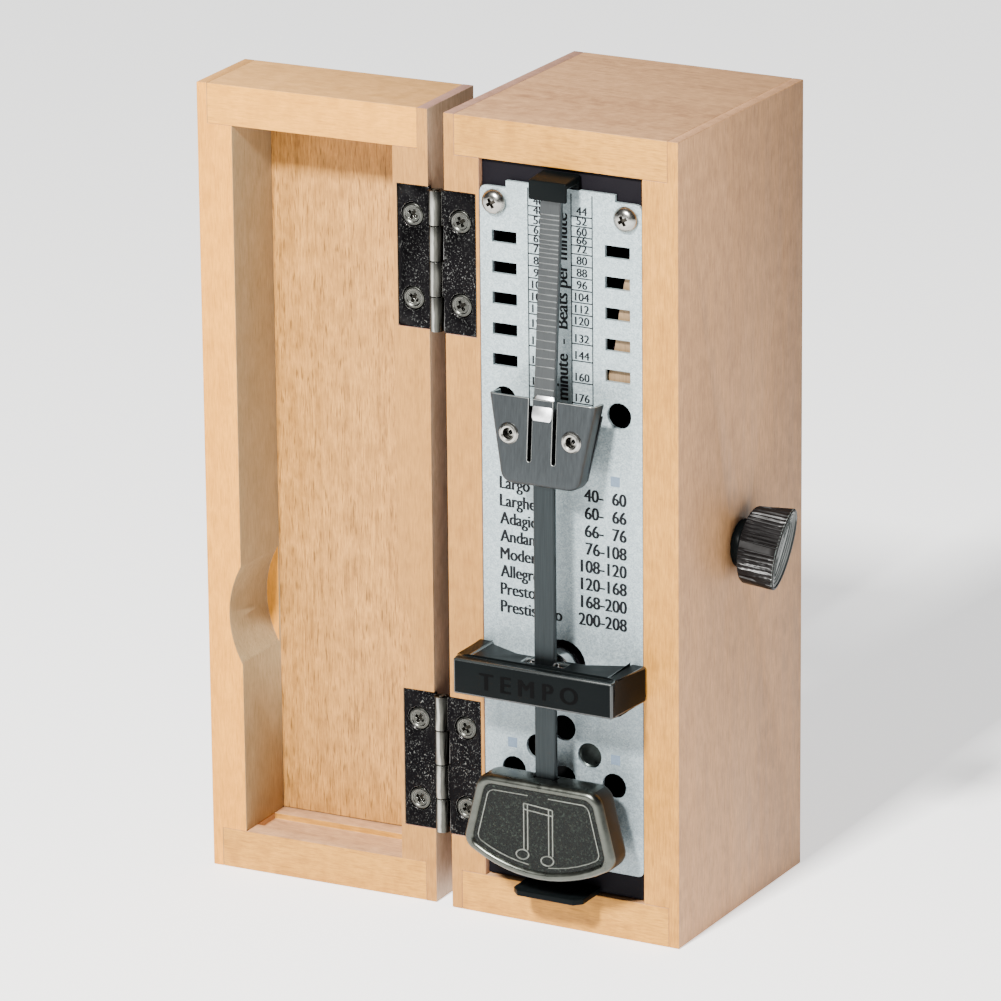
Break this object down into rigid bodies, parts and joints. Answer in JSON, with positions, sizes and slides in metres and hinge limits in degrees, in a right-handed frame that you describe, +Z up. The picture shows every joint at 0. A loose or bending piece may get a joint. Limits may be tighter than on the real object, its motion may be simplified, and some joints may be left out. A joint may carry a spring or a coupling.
{
  "type": "metronome",
  "caption": "Small key-wound metronome in a wooden case with a hinged lid, a scale plate, and a pendulum with a sliding weight.",
  "frame": {"origin": "middle of the flat underside of the wooden case, without its lid", "axes": "+Z up; the scale plate faces -Y, the lid opens towards -X and the winding key is on the +X side"},
  "size_m": [0.1135, 0.0651, 0.16],
  "materials": {
    "case_wood": "pale natural wood, satin lacquer",
    "panel_wood": "pale natural wood with a strong upright grain, satin lacquer",
    "hinge_metal": "nickel plate, lightly tarnished",
    "scale_metal": "fine metallic silver-grey with printed scale",
    "black_plastic": "black moulding, semi-gloss",
    "knob_plastic": "black moulding with fine ribs",
    "bob_metal": "bright nickel rim, dark pebbled face",
    "weight_metal": "dark bright steel",
    "rod_steel": "brushed lengthways",
    "movement_brass": "machined",
    "movement_steel": "machined"
  },
  "bodies": {
    "case": {"case_back": "case_wood", "case_bottom": "case_wood", "case_left_side": "case_wood", "case_right_side": "case_wood", "case_top": "case_wood", "chassis_frame": "black_plastic", "click_screw": "movement_steel", "click_spring": "movement_steel", "escapement_bracket": "movement_brass", "front_bearing": "movement_brass", "latch_tongue": "black_plastic", "lower_hinge_case_leaf": "hinge_metal", "lower_hinge_case_screw_high": "hinge_metal", "lower_hinge_case_screw_low": "hinge_metal", "lower_hinge_pin": "hinge_metal", "movement_left_plate": "movement_brass", "movement_pillar_1": "movement_brass", "movement_pillar_2": "movement_brass", "movement_pillar_3": "movement_brass", "movement_right_plate": "movement_brass", "pendulum_holder": "black_plastic", "pivot_bridge": "black_plastic", "plate_screw_left": "hinge_metal", "plate_screw_right": "hinge_metal", "scale_plate": "scale_metal", "upper_hinge_case_leaf": "hinge_metal", "upper_hinge_case_screw_high": "hinge_metal", "upper_hinge_case_screw_low": "hinge_metal", "upper_hinge_pin": "hinge_metal"},
    "lid": {"lid_bottom_rail": "case_wood", "lid_free_stile": "case_wood", "lid_hinge_stile": "case_wood", "lid_panel": "panel_wood", "lid_top_rail": "case_wood", "lower_hinge_lid_leaf": "hinge_metal", "lower_hinge_lid_screw_high": "hinge_metal", "lower_hinge_lid_screw_low": "hinge_metal", "upper_hinge_lid_leaf": "hinge_metal", "upper_hinge_lid_screw_high": "hinge_metal", "upper_hinge_lid_screw_low": "hinge_metal"},
    "verge": {"verge_arbor": "movement_steel", "pivot_collar": "rod_steel"},
    "pendulum": {"pendulum_rod": "rod_steel", "pendulum_bob": "bob_metal"},
    "weight": {"weight_back_plate": "weight_metal", "weight_eyelet_left": "weight_metal", "weight_eyelet_right": "weight_metal", "weight_front_plate": "weight_metal"},
    "winding": {"winding_arbor": "movement_steel", "ratchet_wheel": "movement_steel", "key_hub": "knob_plastic", "key_knob": "knob_plastic"},
    "pawl": {"click": "movement_steel"},
    "barrel": {"barrel_wheel": "movement_brass", "barrel_cover": "movement_brass", "mainspring": "movement_steel"},
    "second": {"second_arbor": "movement_steel", "second_wheel": "movement_brass"},
    "crown": {"crown_arbor": "movement_steel", "crown_wheel": "movement_brass"}
  },
  "joints": [
    {"name": "lid_hinge", "type": "hinge", "parent": "case", "child": "lid", "pos_m": [-0.02685, -0.02595, 0.08], "axis": [0, 0, -1], "range_deg": [-178, 9]},
    {"name": "pendulum_swing_left", "type": "hinge", "parent": "case", "child": "verge", "pos_m": [0, -0.03335, 0.054], "axis": [0, -1, 0], "range_deg": [0, 25]},
    {"name": "pendulum_swing_right", "type": "hinge", "parent": "verge", "child": "pendulum", "pos_m": [0, -0.03335, 0.054], "axis": [0, 1, 0], "range_deg": [0, 25]},
    {"name": "weight_slide", "type": "slide", "parent": "pendulum", "child": "weight", "axis": [0, 0.0817, 0.9967], "range_m": [-0.009, 0.036]},
    {"name": "winding_key_turn", "type": "hinge", "parent": "case", "child": "winding", "pos_m": [0.02475, -0.00025, 0.0745], "axis": [-1, 0, 0], "range_deg": [0, 2160]},
    {"name": "click_lift", "type": "hinge", "parent": "case", "child": "pawl", "pos_m": [0.0156, 0.00175, 0.0835], "axis": [-1, 0, 0], "range_deg": [0, 12], "stiffness_Nm_per_rad": 0.0005, "springref_deg": -2.86},
    {"name": "barrel_turn", "type": "hinge", "parent": "case", "child": "barrel", "pos_m": [-0.008, -0.00025, 0.0745], "axis": [1, 0, 0], "continuous": true},
    {"name": "second_wheel_turn", "type": "hinge", "parent": "case", "child": "second", "pos_m": [0, 0.00248, 0.05721], "axis": [1, 0, 0], "continuous": true},
    {"name": "crown_wheel_turn", "type": "hinge", "parent": "case", "child": "crown", "pos_m": [0.005, -0.00825, 0.054], "axis": [1, 0, 0], "continuous": true}
  ],
  "couplings": [
    {"joint": "second_wheel_turn", "follows": "barrel_turn", "ratio": -6},
    {"joint": "crown_wheel_turn", "follows": "barrel_turn", "ratio": 36}
  ]
}
